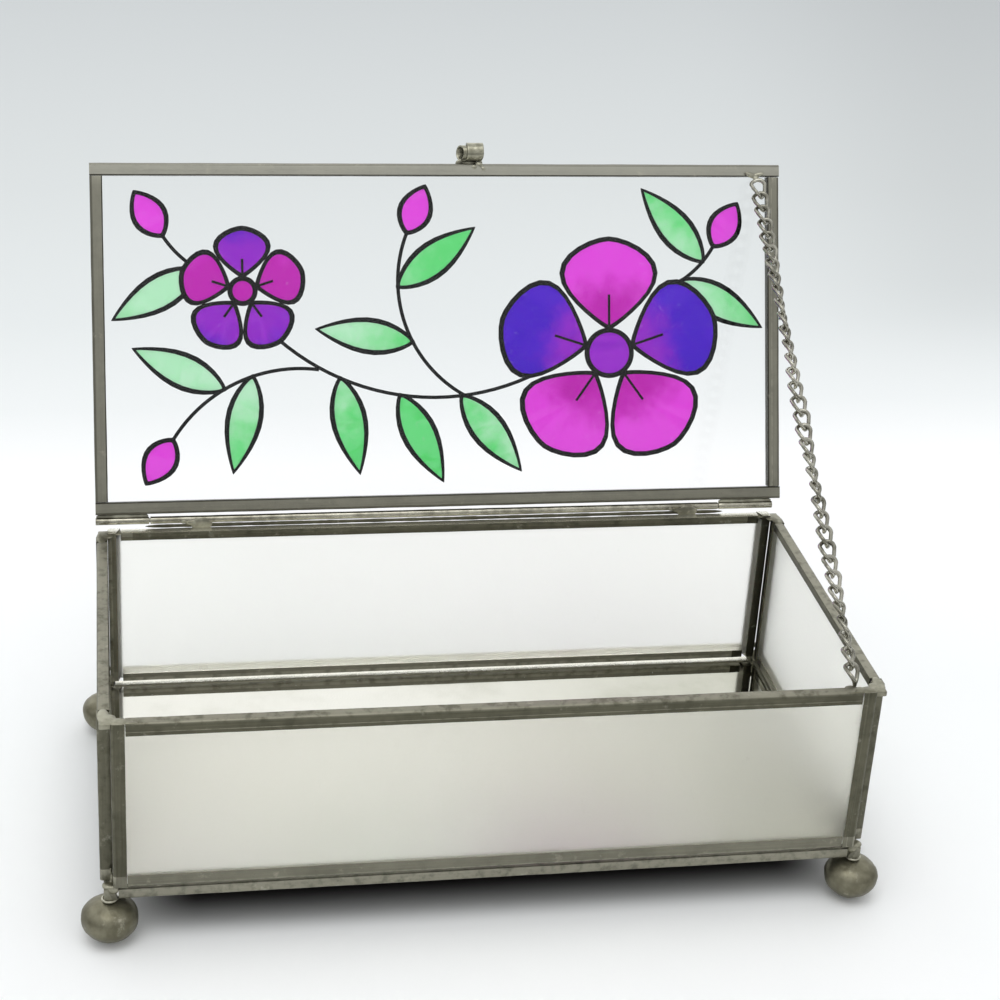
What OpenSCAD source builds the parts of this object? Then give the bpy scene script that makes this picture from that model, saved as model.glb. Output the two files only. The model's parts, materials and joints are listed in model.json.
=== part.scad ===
// Glass casket box: a low, long keepsake box of glass panes, each wrapped in a
// folded metal came and soldered to its neighbours at the corners. The lid turns
// on a tube hinge along the back and is held open by a chain.
// Origin: on the table, under the middle of the box as it stands with its lid open.
// +X to the right seen from the front, +Y to the back, +Z up. Millimetres.

/* [Box] */
// Outer width of the box, side to side
box_w = 180; // [150:1:220]
// Outer depth of the box, front to back
box_d = 91; // [80:1:120]
// Height of the four wall panels
wall_h = 43.2; // [36:0.1:60]
// Gap that shows between the walls and the base panel
base_gap = 0.8; // [0.5:0.1:1.2]
// Distance of the base panel's edge behind the walls' outer faces
base_inset = 0.8; // [0.4:0.1:1.2]
// Sideways gap between the end of a front or back panel and a side panel
seam_gap = 0.1; // [0.05:0.05:0.4]

/* [Panels] */
// Thickness of the glass
glass_t = 2; // [1.8:0.1:2.2]
// Thickness of a panel over its came
came_t = 3; // [2.8:0.1:3.4]
// Width of the came's flange on the face of the glass
came_w = 3.3; // [3:0.1:4]
// Thickness of the came's back, round the edge of the glass
came_back = 0.8; // [0.6:0.1:1]
// Rounding of the came's back edges
came_r = 0.5; // [0.3:0.05:0.7]
// Play of the glass in its came
glass_play = 0.05; // [0.02:0.01:0.1]

/* [Solder] */
// Radius of the solder that fills a corner
solder_r = 1.9; // [1.6:0.1:2]
// How far the corner solder runs along a corner
solder_run = 4; // [2:0.5:8]
// How far the corner solder stands above the rim
solder_rise = 0.25; // [0.1:0.05:0.3]

/* [Feet] */
// Diameter of a ball foot
foot_d = 13.4; // [11:0.1:16]
// Height of a ball foot, which is a flattened ball
foot_ball_h = 10.6; // [9:0.1:13]
// Radius of the flat worn under a foot
foot_flat_r = 2; // [1.6:0.1:2.6]
// Inset of a foot's centre from the walls' outer faces
foot_inset = 2.1; // [1.8:0.1:4]
// Outer radius of the collar round the hole on top of a foot
collar_r = 1.75; // [1.5:0.05:1.9]
// Wall of the collar
collar_wall = 0.4; // [0.3:0.05:0.5]
// Height of the collar
collar_h = 0.4; // [0.3:0.1:0.8]

/* [Hinge] */
// Outer radius of the hinge tube
tube_r = 1; // [0.9:0.05:1.2]
// Radius of the hinge pin
pin_r = 0.55; // [0.4:0.05:0.65]
// Running clearance between the pin and a knuckle
pin_play = 0.05; // [0.02:0.01:0.08]
// Height of the hinge axis above the rim
hinge_up = 2.2; // [2.1:0.1:3]
// Distance of the hinge axis behind the back panel's outer face
hinge_back = 0.4; // [0.2:0.1:0.8]
// Length of the left knuckle
knuckle_left = 13.5; // [10:0.5:30]
// Length of the right knuckle
knuckle_right = 14.8; // [10:0.1:30]
// Distance of the right knuckle's end from the box's right side
knuckle_end = 2; // [0.5:0.1:6]
// Gap between a knuckle and the long barrel
knuckle_gap = 0.2; // [0.1:0.05:0.4]
// Width of a solder tab that holds the barrel to the back panel
tab_w = 6.4; // [4:0.1:10]
// Distance of a solder tab from the nearer side of the box
tab_inset = 22.8; // [20:0.1:40]
// Distance that a solder tab reaches down the back panel
tab_drop = 1.4; // [0.5:0.1:3]

/* [Lid] */
// Depth of the lid panel, hinge edge to free edge
lid_d = 88.9; // [78:0.1:116]
// Gap between the hinge tube and the lid's back edge
lid_hinge_gap = 0.6; // [0.5:0.1:1]
// Gap between the rim and the closed lid
lid_gap = 0.65; // [0.6:0.05:0.8]
// Angle to which the chain lets the lid open
open_angle = 112; // [95:1:115]

/* [Pull] */
// Outer radius of the curled pull on the lid's free edge
curl_r = 2.5; // [2:0.1:3]
// Thickness of the pull's strip
curl_t = 0.9; // [0.6:0.1:1]
// Width of the pull's strip
curl_w = 6; // [4:0.5:10]
// Gap between the curl and the lid's free edge
curl_gap = 0.25; // [0.2:0.05:1]
// Sideways turn of the curl
curl_turn = 16; // [0:1:20]
// Distance of the pull from the box's middle, to the right
curl_x = 7; // [-40:1:40]

/* [Chain] */
// Wire thickness of a link
wire_d = 0.85; // [0.7:0.05:1]
// Distance from one link to the next when the chain is taut
link_pitch = 4.2; // [4:0.1:5]
// Outer width of a link
link_w = 4; // [3.8:0.1:4.4]
// Play between neighbouring links
link_play = 0.05; // [0.02:0.01:0.2]
// Sag of the chain at its middle
chain_sag = 1.2; // [0:0.1:3]
// Distance of the chain's end on the lid from the lid's right side
chain_lid_inset = 6.5; // [5.5:0.1:12]
// Distance of the chain's end on the lid from the free edge
chain_lid_back = 3.9; // [3.5:0.1:6]
// Distance of the chain's end on the box from the box's right side
chain_box_inset = 7.2; // [6.5:0.1:12]
// Radius of the solder drop that holds an end of the chain
drop_r = 0.9; // [0.7:0.1:1.1]

/* [Painted design] */
// Width of the black outline
liner_w = 1.3; // [0.9:0.1:1.8]
// Height of the outline above the glass
liner_h = 0.4; // [0.2:0.05:0.45]
// Thickness of the coloured glass paint
paint_h = 0.2; // [0.1:0.05:0.3]
// Petal length of the large blossom
bloom_l = 30; // [20:1:31]
// Petal length of the small blossom
bud_l = 16; // [10:1:17]
// Length of a leaf
leaf_l = 25; // [15:1:26]

/* [Hidden] */
$fn = 48;
eps = 0.01;

// Heights
base_z = foot_ball_h + collar_h;
wall_z = base_z + came_t + base_gap;
rim_z = wall_z + wall_h;

// Panels: the front and back ones run between the side ones
long_w = box_w - 2 * (came_t - seam_gap);
side_d = box_d - 2 * (came_t + seam_gap);
slot_t = glass_t + 2 * glass_play;

// Hinge, seen from the box's front face: closed lid points are dy and dz from its axis
lid_edge = tube_r + lid_hinge_gap;
lid_under = lid_gap - hinge_up;
hinge_from_front = box_d + hinge_back;
curl_reach = curl_r * cos(curl_turn) + curl_w / 2 * sin(curl_turn);
curl_dy = -(lid_edge + lid_d + curl_gap + curl_reach);
curl_dz = lid_under + came_t / 2;
curl_lean = sin(curl_turn) * cos(open_angle);
neck_w = curl_w / 2;
rear = hinge_from_front + curl_dy * cos(open_angle) + curl_dz * sin(open_angle)
  + curl_w / 2 * abs(curl_lean) + curl_r * sqrt(1 - curl_lean * curl_lean);
front = foot_inset - foot_d / 2;

// The origin is under the middle of the open box
front_y = -(rear + front) / 2;
left_x = -box_w / 2;
hinge_y = front_y + hinge_from_front;
hinge_z = rim_z + hinge_up;
barrel_l = box_w - knuckle_left - knuckle_right - knuckle_end - 2 * knuckle_gap;

// Chain: a link's middle line is two straights and two half circles
link_reach = (link_pitch + wire_d + link_play) / 2;
link_bend = (link_w - wire_d) / 2;
link_straight = 2 * (link_reach - link_bend);
drop_gap = 0.15;
box_drop_r = 1.15 * drop_r;
lid_drop_dy = -(lid_edge + lid_d - chain_lid_back);
chain_top = lid_point(box_w / 2 - chain_lid_inset, lid_drop_dy, lid_under - drop_r - drop_gap);
box_drop = [box_w / 2 - chain_box_inset, front_y + came_t + drop_r, rim_z - 0.7 - drop_r];
chain_end = box_drop + [0, drop_gap / 2, box_drop_r + 1.5 * drop_gap];
chain_span = norm(chain_end - chain_top);
steepest_span = norm(chain_end - chain_top - [0, 0, 4 * chain_sag]);
link_steps = ceil((steepest_span - 2 * link_reach - wire_d) / link_pitch);
link_count = link_steps + 1;
end_share = (link_reach + wire_d / 2) / chain_span;

// Painted design, drawn from the middle of a field of this size, which is fitted to the
// lid's glass: X to the right, Y to the free edge
field_w = 173.4;
field_d = 82.3;
field_fit = min((box_w - 2 * came_w) / field_w, (lid_d - 2 * came_w) / field_d);
// A blossom is a place; a stem is part of a ring: middle, radius, first and last angle.
// A stem's end at a blossom lies under its petals.
bloom_at = [44, -5];
bud_at = [-52, 12];
long_ring = [-2, 46, 62];
right_ring = [50, 36, 26];
left_ring = [-50, 40, 26];
stems = [
  concat(long_ring, under(long_ring, bud_at, bud_l, 1), under(long_ring, bloom_at, bloom_l, -1)),
  concat(right_ring, under(right_ring, bloom_at, bloom_l, 1), -30),
  concat(left_ring, under(left_ring, bud_at, bud_l, -1), -148),
  [22, 14, 34, 240, 158],
  [-38, -46, 38, 82, 148]
];
// Leaves and closed buds grow from a stem: its number, the angle on it, the turn from its radius
leaf_spots = [
  [0, 246, 35], [0, 261, 35], [0, 276, 32], [1, 302, 28], [1, 319, 172],
  [2, 240, -30], [3, 207, -35], [3, 182, -145], [4, 120, 35], [4, 108, 150]
];
closed_spots = [[1, 330, 90], [2, 212, -90], [3, 158, -90], [4, 148, 90]];

// The angle on a ring at three quarters of a petal from a blossom's middle
function under(ring, at, l, side) =
  let (r = ring[2], way = at - [ring[0], ring[1]])
  atan2(way[1], way[0]) + side * acos((r * r + way * way - pow(0.75 * l, 2)) / (2 * r * norm(way)));

function lid_point(x, dy, dz) = [
  x,
  hinge_y + dy * cos(open_angle) + dz * sin(open_angle),
  hinge_z - dy * sin(open_angle) + dz * cos(open_angle)
];
function chain_point(s) = chain_top + (chain_end - chain_top) * s - [0, 0, 4 * chain_sag * s * (1 - s)];

// A rectangle from the origin with its four corners rounded
module round_rect(w, t, r) {
  translate([r, 0]) square([w - 2 * r, t]);
  translate([0, r]) square([w, t - 2 * r]);
  for (x = [r, w - r], y = [r, t - r]) translate([x, y]) circle(r);
}

// The whole space of a panel w by h, lying flat, its outer edges rounded
module panel_space(w, h) {
  intersection() {
    translate([0, h, 0]) rotate([90, 0, 0]) linear_extrude(h) round_rect(w, came_t, came_r);
    rotate([90, 0, 90]) linear_extrude(w) round_rect(h, came_t, came_r);
  }
}

// The came folded round a pane: open in the middle, with a slot for the glass
module came(w, h) {
  color("dimgray") difference() {
    panel_space(w, h);
    translate([came_w, came_w, -1]) cube([w - 2 * came_w, h - 2 * came_w, came_t + 2]);
    translate([came_back, came_back, (came_t - slot_t) / 2])
      cube([w - 2 * came_back, h - 2 * came_back, slot_t]);
  }
}

// The pane that sits in a came of the same size
module pane(w, h, tint) {
  edge = came_back + glass_play;
  color(tint) translate([edge, edge, (came_t - glass_t) / 2]) cube([w - 2 * edge, h - 2 * edge, glass_t]);
}

// Places of the panels
module at_front() { translate([-long_w / 2, front_y + came_t, wall_z]) rotate([90, 0, 0]) children(); }
module at_back() { translate([-long_w / 2, front_y + box_d, wall_z]) rotate([90, 0, 0]) children(); }
module at_left() {
  translate([left_x, front_y + came_t + seam_gap, wall_z]) rotate([90, 0, 90]) children();
}
module at_right() {
  translate([-left_x - came_t, front_y + came_t + seam_gap, wall_z]) rotate([90, 0, 90]) children();
}
module at_base() { translate([left_x + base_inset, front_y + base_inset, base_z]) children(); }
module in_lid() { translate([0, hinge_y, hinge_z]) rotate([-open_angle, 0, 0]) children(); }
module at_lid() { in_lid() translate([left_x, -lid_edge - lid_d, lid_under]) children(); }

module front_pane() { at_front() pane(long_w, wall_h, "gainsboro"); }
module back_pane() { at_back() pane(long_w, wall_h, "gainsboro"); }
module left_pane() { at_left() pane(side_d, wall_h, "gainsboro"); }
module right_pane() { at_right() pane(side_d, wall_h, "gainsboro"); }
module base_pane() { at_base() pane(box_w - 2 * base_inset, box_d - 2 * base_inset, "silver"); }
module lid_pane() { at_lid() pane(box_w, lid_d, "azure"); }

module front_came() { at_front() came(long_w, wall_h); }
module back_came() { at_back() came(long_w, wall_h); }
module left_came() { at_left() came(side_d, wall_h); }
module right_came() { at_right() came(side_d, wall_h); }
module base_came() { at_base() came(box_w - 2 * base_inset, box_d - 2 * base_inset); }
module lid_came() { at_lid() came(box_w, lid_d); }

// All five panels as plain blocks, to cut the solder to their shape
module wall_blocks() {
  at_front() panel_space(long_w, wall_h);
  at_back() panel_space(long_w, wall_h);
  at_left() panel_space(side_d, wall_h);
  at_right() panel_space(side_d, wall_h);
  at_base() panel_space(box_w - 2 * base_inset, box_d - 2 * base_inset);
}

// A copy at each of the four corners, at a distance in from the outer faces
module corners(inset) {
  for (sx = [-1, 1], y = [front_y + inset, front_y + box_d - inset])
    translate([sx * (box_w / 2 - inset), y, 0]) children();
}

// Solder in the open corners: at the rim, and where walls and base meet
module rim_solder() {
  color("silver") difference() {
    corners(solder_r) translate([0, 0, rim_z - solder_run])
      cylinder(r = solder_r, h = solder_run + solder_rise);
    wall_blocks();
  }
}
module base_solder() {
  color("silver") difference() {
    corners(solder_r) translate([0, 0, wall_z - base_gap - came_t / 3])
      cylinder(r = solder_r, h = solder_run + base_gap + came_t / 3);
    wall_blocks();
  }
}

// Half the outline of a flattened ball that stands on a small flat
module foot_outline() {
  worn = foot_d / 2 - sqrt(pow(foot_d / 2, 2) - pow(foot_flat_r, 2));
  half_h = (foot_ball_h + worn) / 2;
  steps = 20;
  intersection() {
    polygon([for (i = [0:steps]) let (a = -90 + 180 * i / steps)
      [foot_d / 2 * cos(a), foot_ball_h - worn - half_h + half_h * sin(a)]]);
    square([foot_d, foot_ball_h - worn]);
  }
}
module foot(sx, y) {
  color("gray") translate([sx * (box_w / 2 - foot_inset), y, 0]) union() {
    rotate_extrude() foot_outline();
    translate([0, 0, foot_ball_h / 2]) cylinder(r = collar_r, h = foot_ball_h / 2);
  }
}
module foot_front_left() { foot(-1, front_y + foot_inset); }
module foot_front_right() { foot(1, front_y + foot_inset); }
module foot_back_left() { foot(-1, front_y + box_d - foot_inset); }
module foot_back_right() { foot(1, front_y + box_d - foot_inset); }

// The raised ring round the hole of each foot, and the solder inside it
module foot_collars() {
  color("gray") corners(foot_inset) translate([0, 0, foot_ball_h]) difference() {
    cylinder(r = collar_r, h = collar_h);
    translate([0, 0, -eps]) cylinder(r = collar_r - collar_wall, h = collar_h + 2 * eps);
  }
}
module foot_solder() {
  color("silver") corners(foot_inset) translate([0, 0, foot_ball_h])
    cylinder(r = collar_r - collar_wall, h = collar_h);
}

// A length of hinge tube or pin on the hinge axis, from x, outside the lid's turn
module rod(x, l, r) { translate([x, 0, 0]) rotate([0, 90, 0]) cylinder(r = r, h = l); }
module tube(x, l, bore_r) {
  difference() {
    rod(x, l, tube_r);
    rod(x - 1, l + 2, bore_r);
  }
}
module on_hinge() { translate([0, hinge_y, hinge_z]) children(); }

module hinge_barrel() {
  color("darkgray") on_hinge() tube(left_x + knuckle_left + knuckle_gap, barrel_l, pin_r);
}
module hinge_pin() {
  color("darkgray") on_hinge() rod(left_x + knuckle_gap, box_w - knuckle_end - 2 * knuckle_gap, pin_r);
}

// Two drops of solder between the barrel and the top of the back panel
module hinge_barrel_solder() {
  tab_front = -(tube_r + lid_hinge_gap / 3);
  tab_back = came_r + hinge_back;
  color("silver") difference() {
    on_hinge() for (x = [left_x + tab_inset, -left_x - tab_inset - tab_w])
      translate([x, tab_front, -hinge_up - tab_drop])
        cube([tab_w, tab_back - tab_front, hinge_up + tab_drop - tube_r / 3]);
    on_hinge() rod(left_x, box_w, tube_r);
    wall_blocks();
  }
}

module lid_knuckle_left() {
  color("darkgray") in_lid() tube(left_x, knuckle_left, pin_r + pin_play);
}
module lid_knuckle_right() {
  color("darkgray") in_lid() tube(-left_x - knuckle_end - knuckle_right, knuckle_right, pin_r + pin_play);
}

// Solder between the two knuckles and the lid's back edge
module lid_knuckle_solder() {
  fill_h = 1.2 * tube_r;
  color("silver") in_lid() difference() {
    union() {
      translate([left_x + 1, -lid_edge, -fill_h / 2]) cube([knuckle_left - 2, lid_edge, fill_h]);
      translate([-left_x - knuckle_end - knuckle_right + 1, -lid_edge, -fill_h / 2])
        cube([knuckle_right - 2, lid_edge, fill_h]);
    }
    rod(left_x - 1, box_w + 2, tube_r);
  }
}

// The pull: a strip rolled into an open curl on a short neck
module at_pull() { in_lid() translate([curl_x, curl_dy, curl_dz]) children(); }
module curl() {
  rotate([0, 0, curl_turn]) rotate([90, 0, 90]) translate([0, 0, -curl_w / 2])
    linear_extrude(curl_w) difference() {
      circle(curl_r);
      circle(curl_r - curl_t);
      polygon([[0, 0], [2 * curl_r * cos(20), -2 * curl_r * sin(20)], [2 * curl_r, -4 * curl_r],
        [2 * curl_r * cos(75), -2 * curl_r * sin(75)]]);
    }
}
module neck() {
  translate([-neck_w / 2, curl_r - curl_t, -curl_t / 2])
    cube([neck_w, curl_reach + curl_gap - curl_r + curl_t, curl_t]);
}
module lid_pull() {
  color("gray") at_pull() difference() {
    union() {
      curl();
      neck();
    }
    rotate([0, 0, curl_turn]) rotate([0, 90, 0]) translate([0, 0, -curl_w])
      cylinder(r = curl_r - curl_t, h = 2 * curl_w);
  }
}
module lid_pull_solder() {
  color("silver") at_pull() difference() {
    translate([-neck_w, curl_r, -curl_t])
      cube([2 * neck_w, curl_reach + curl_gap - curl_r, 2 * curl_t]);
    curl();
    neck();
  }
}

// Solder drops that hold the two ends of the chain
module chain_lid_solder() {
  color("silver") in_lid() difference() {
    translate([box_w / 2 - chain_lid_inset, lid_drop_dy, lid_under]) sphere(drop_r);
    translate([0, -lid_edge - lid_d, lid_under]) cube([box_w, lid_d, came_t]);
  }
}
module chain_box_solder() {
  color("silver") difference() {
    translate(box_drop) sphere(box_drop_r);
    wall_blocks();
  }
}

// One closed link of round wire, along X, its flat side up
module link() {
  for (side = [-1, 1]) {
    translate([side * link_straight / 2, 0, 0]) rotate([0, 0, -90 * side])
      rotate_extrude(angle = 180) translate([link_bend, 0]) circle(d = wire_d, $fn = 24);
    translate([-link_straight / 2, side * link_bend, 0]) rotate([0, 90, 0])
      cylinder(d = wire_d, h = link_straight, $fn = 24);
  }
}
module chain_links() {
  color("lightgray") for (i = [0:link_count - 1]) {
    share = end_share + (1 - 2 * end_share) * i / link_steps;
    way = chain_point(share + 0.005) - chain_point(share - 0.005);
    translate(chain_point(share))
      rotate([0, -atan2(way[2], norm([way[0], way[1]])), atan2(way[1], way[0])])
        rotate([i % 2 == 0 ? 45 : -45, 0, 0]) link();
  }
}

// Outline of a petal or leaf along X; fullness above 1 puts its widest part near the tip,
// and bluntness below 1 makes its tip round
function petal(l, w, fullness, bluntness, grow = 0, steps = 14) =
  let (
    along = function (i) (1 - cos(180 * i / steps)) / 2,
    side = function (t) (w / 2 + grow) * pow(sin(180 * pow(t, fullness)), bluntness)
  )
  concat(
    [for (i = [0:steps]) [(l + 2 * grow) * along(i) - grow, side(along(i))]],
    [for (i = [steps - 1:-1:1]) [(l + 2 * grow) * along(i) - grow, -side(along(i))]]);

// A curved band of one width: part of a ring about the origin
module arc_band(r, from, to, w) {
  steps = ceil(abs(to - from) / 3);
  polygon(concat(
    [for (i = [0:steps]) let (a = from + (to - from) * i / steps) (r + w / 2) * [cos(a), sin(a)]],
    [for (i = [steps:-1:0]) let (a = from + (to - from) * i / steps) (r - w / 2) * [cos(a), sin(a)]]));
}

// The five petals of a blossom; each is drawn where pick holds its number
module petals(l, pick, grow) {
  heart = l / 5;
  for (i = pick) rotate(18 + 72 * i) translate([heart + liner_w / 2, 0])
    polygon(petal(l - heart - liner_w / 2, 0.84 * l, 1.4, 0.6, grow));
}
module blossom_lines(l) {
  heart = l / 5;
  difference() {
    union() {
      petals(l, [0:4], liner_w / 2);
      circle(heart + liner_w / 2);
    }
    difference() {
      petals(l, [0:4], -liner_w / 2);
      circle(heart + liner_w / 2);
      for (i = [0:4]) rotate(18 + 72 * i) translate([heart, -liner_w / 4]) square([l / 3.2, liner_w / 2]);
    }
    circle(heart - liner_w / 2);
  }
}
module blossom_fill(l, pick) {
  difference() {
    petals(l, pick, -liner_w / 2);
    circle(l / 5 + liner_w / 2);
  }
}
module heart_fill(l) { circle(l / 5 - liner_w / 2); }

// A child at each spot on its stem
module on_stems(spots) {
  for (p = spots) translate([stems[p[0]][0], stems[p[0]][1]]) rotate(p[1])
    translate([stems[p[0]][2], 0]) rotate(p[2]) children();
}
module leaves(grow) { on_stems(leaf_spots) polygon(petal(leaf_l, leaf_l / 3, 0.85, 0.9, grow)); }
module closed_buds(grow) {
  on_stems(closed_spots) polygon(petal(0.8 * bud_l, bud_l / 2, 0.9, 0.8, grow));
}
module blossoms_space() {
  translate(bloom_at) petals(bloom_l, [0:4], 0);
  translate(bud_at) petals(bud_l, [0:4], 0);
}
module all_lines() {
  translate(bloom_at) blossom_lines(bloom_l);
  translate(bud_at) blossom_lines(bud_l);
  difference() {
    union() {
      leaves(liner_w / 2);
      closed_buds(liner_w / 2);
      for (s = stems) translate([s[0], s[1]]) arc_band(s[2], s[3], s[4], 0.7 * liner_w);
    }
    blossoms_space();
    leaves(-liner_w / 2);
    closed_buds(-liner_w / 2);
  }
}

// The design lies on the outer face of the lid's glass, and shows through it
module on_glass(h) {
  in_lid() translate([0, -lid_edge - lid_d / 2, lid_under + (came_t + glass_t) / 2])
    linear_extrude(h) scale([field_fit, field_fit]) mirror([0, 1]) children();
}
module design_outline() { color("black") on_glass(liner_h) all_lines(); }
module design_violet_petals() {
  color("indigo") on_glass(paint_h) difference() {
    union() {
      translate(bloom_at) blossom_fill(bloom_l, [0, 2]);
      translate(bloom_at) heart_fill(bloom_l);
      translate(bud_at) blossom_fill(bud_l, [1, 3, 4]);
    }
    all_lines();
  }
}
module design_magenta_petals() {
  color("mediumorchid") on_glass(paint_h) difference() {
    union() {
      translate(bloom_at) blossom_fill(bloom_l, [1, 3, 4]);
      translate(bud_at) blossom_fill(bud_l, [0, 2]);
      translate(bud_at) heart_fill(bud_l);
      closed_buds(-liner_w / 2);
    }
    all_lines();
  }
}
module design_leaves() {
  color("mediumseagreen") on_glass(paint_h) difference() {
    leaves(-liner_w / 2);
    blossoms_space();
    all_lines();
  }
}

front_pane();
back_pane();
left_pane();
right_pane();
base_pane();
front_came();
back_came();
left_came();
right_came();
base_came();
rim_solder();
base_solder();
foot_front_left();
foot_front_right();
foot_back_left();
foot_back_right();
foot_collars();
foot_solder();
hinge_barrel();
hinge_pin();
hinge_barrel_solder();
chain_box_solder();
chain_links();
lid_pane();
lid_came();
lid_knuckle_left();
lid_knuckle_right();
lid_knuckle_solder();
lid_pull();
lid_pull_solder();
chain_lid_solder();
design_outline();
design_violet_petals();
design_magenta_petals();
design_leaves();
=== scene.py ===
import json
import math
import random

import bmesh
import bpy
from mathutils import Matrix, Vector


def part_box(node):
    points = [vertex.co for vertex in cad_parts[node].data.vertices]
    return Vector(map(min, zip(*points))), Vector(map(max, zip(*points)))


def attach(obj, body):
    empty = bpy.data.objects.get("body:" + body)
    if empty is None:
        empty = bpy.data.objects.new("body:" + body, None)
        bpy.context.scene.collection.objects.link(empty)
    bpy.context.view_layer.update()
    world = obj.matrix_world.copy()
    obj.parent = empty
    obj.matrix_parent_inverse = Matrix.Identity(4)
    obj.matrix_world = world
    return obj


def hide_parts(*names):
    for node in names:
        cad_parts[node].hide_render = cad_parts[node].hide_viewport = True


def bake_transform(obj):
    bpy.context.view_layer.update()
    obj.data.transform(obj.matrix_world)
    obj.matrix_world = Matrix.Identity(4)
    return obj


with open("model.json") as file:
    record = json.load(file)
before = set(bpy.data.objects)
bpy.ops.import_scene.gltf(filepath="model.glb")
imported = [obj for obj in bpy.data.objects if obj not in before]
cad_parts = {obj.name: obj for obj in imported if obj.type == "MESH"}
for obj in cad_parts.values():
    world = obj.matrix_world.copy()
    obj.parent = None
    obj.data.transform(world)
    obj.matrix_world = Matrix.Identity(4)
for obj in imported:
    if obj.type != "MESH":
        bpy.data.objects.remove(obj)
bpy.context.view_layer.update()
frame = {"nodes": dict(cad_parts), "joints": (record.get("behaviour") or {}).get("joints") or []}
bpy.ops.object.select_all(action="DESELECT")

# ---------------------------------------------------------------- camera
# A long lens a little to the left of the box and well above it. Its place and turns were
# solved from the corners of the wall panels and of the lid; the shift is the crop's.
MM = 0.001
CAMERA_AT = Vector((-85.23, -461.22, 313.94)) * MM
FOCAL_PX, FRAME_PX, SENSOR_MM = 2140.2, 1000, 36
MIDDLE_PX = (499.3, 420.5)
YAW, PITCH, ROLL = (math.radians(a) for a in (-11.261, -24.477, -3.667))

bpy.ops.object.camera_add()
camera = bpy.context.active_object
turn = Matrix.Rotation(YAW, 3, "Z") @ Matrix.Rotation(PITCH, 3, "X") @ Matrix.Rotation(ROLL, 3, "Y")
camera.matrix_world = Matrix.Translation(CAMERA_AT) @ (turn @ Matrix.Rotation(math.pi / 2, 3, "X")).to_4x4()
camera.data.lens = FOCAL_PX / FRAME_PX * SENSOR_MM
camera.data.sensor_width = SENSOR_MM
camera.data.shift_x = (FRAME_PX / 2 - MIDDLE_PX[0]) / FRAME_PX
camera.data.shift_y = (MIDDLE_PX[1] - FRAME_PX / 2) / FRAME_PX
camera.data.clip_start = 0.01
bpy.context.scene.camera = camera
bpy.context.scene.view_settings.view_transform = "Standard"


# ---------------------------------------------------------------- studio
# A pale paper floor under a broad softbox. The room is white above and behind the box
# and dim in front of it, which is what the metal shows on its upright faces.
def paint(red, green, blue):
    """A colour as it looks on screen, from 0 to 255, as the linear one that a shader takes."""
    def linear(value):
        value /= 255
        return value / 12.92 if value <= 0.04045 else ((value + 0.055) / 1.055) ** 2.4
    return (linear(red), linear(green), linear(blue), 1.0)


class Value:
    """A socket of a node tree. Python's arithmetic on it adds Math nodes."""

    def __init__(self, nodes, socket):
        self.nodes, self.socket = nodes, socket

    def maths(self, operation, *others):
        return self.nodes.add("ShaderNodeMath", {"operation": operation}, self, *others)

    def __add__(self, other):
        return self.maths("ADD", other)

    def __sub__(self, other):
        return self.maths("SUBTRACT", other)

    def __mul__(self, other):
        return self.maths("MULTIPLY", other)

    def __truediv__(self, other):
        return self.maths("DIVIDE", other)

    def __pow__(self, other):
        return self.maths("POWER", other)

    def __rsub__(self, other):
        return self * -1 + other

    __radd__, __rmul__ = __add__, __mul__

    def rise(self, low, high):
        """0 below low and 1 above high, with a smooth climb between; falls where low is above high."""
        if low > high:
            return 1 - self.rise(high, low)
        return self.nodes.add("ShaderNodeMapRange", {"interpolation_type": "SMOOTHSTEP"}, self, low, high)


class Nodes:
    """A node tree, and the one way in which nodes are added to it."""

    def __init__(self, owner):
        owner.use_nodes = True
        self.owner, self.tree = owner, owner.node_tree

    def add(self, kind, settings=None, *values, out=0, **named):
        """A new node, its settings made first and its sockets then filled; gives one output."""
        node = self.tree.nodes.new(kind)
        for name, setting in (settings or {}).items():
            if name == "stops":
                ramp = node.color_ramp.elements
                while len(ramp) < len(setting):
                    ramp.new(1.0)
                for stop, (position, colour) in zip(ramp, setting):
                    stop.position, stop.color = position, colour
            else:
                setattr(node, name, setting)
        self.fill(node, dict(enumerate(values)) | named)
        return Value(self, node.outputs[out])

    def fill(self, node, values):
        for key, value in values.items():
            socket = node.inputs[key]
            if isinstance(value, Value):
                self.tree.links.new(value.socket, socket)
            elif value is not None:
                socket.default_value = value

    def mix(self, share, first, second):
        """A colour between two others."""
        return self.add("ShaderNodeMix", {"data_type": "RGBA"}, share, None, None, None, None, None,
                        first, second, out=2)

    def place(self, scale=(1, 1, 1), turn=(0, 0, 0)):
        """The point on the piece, in metres, stretched by scale."""
        here = self.add("ShaderNodeTexCoord", out="Object")
        return self.add("ShaderNodeMapping", None, here, Rotation=turn, Scale=scale)

    def along(self, axis):
        """How far along X, Y or Z the point on the piece lies, in metres."""
        return self.add("ShaderNodeSeparateXYZ", None, self.place(), out=axis)

    def noise(self, size, detail=3.0, place=None, roughness=0.55):
        """Cloudy noise whose lumps are about size metres across."""
        return self.add("ShaderNodeTexNoise", None, Vector=place or self.place(),
                        Scale=1 / size, Detail=detail, Roughness=roughness)

    def bump(self, height, depth):
        """A normal that shows height, from 0 to 1, as depth metres of relief."""
        return self.add("ShaderNodeBump", None, Strength=1.0, Distance=depth, Height=height)


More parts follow.
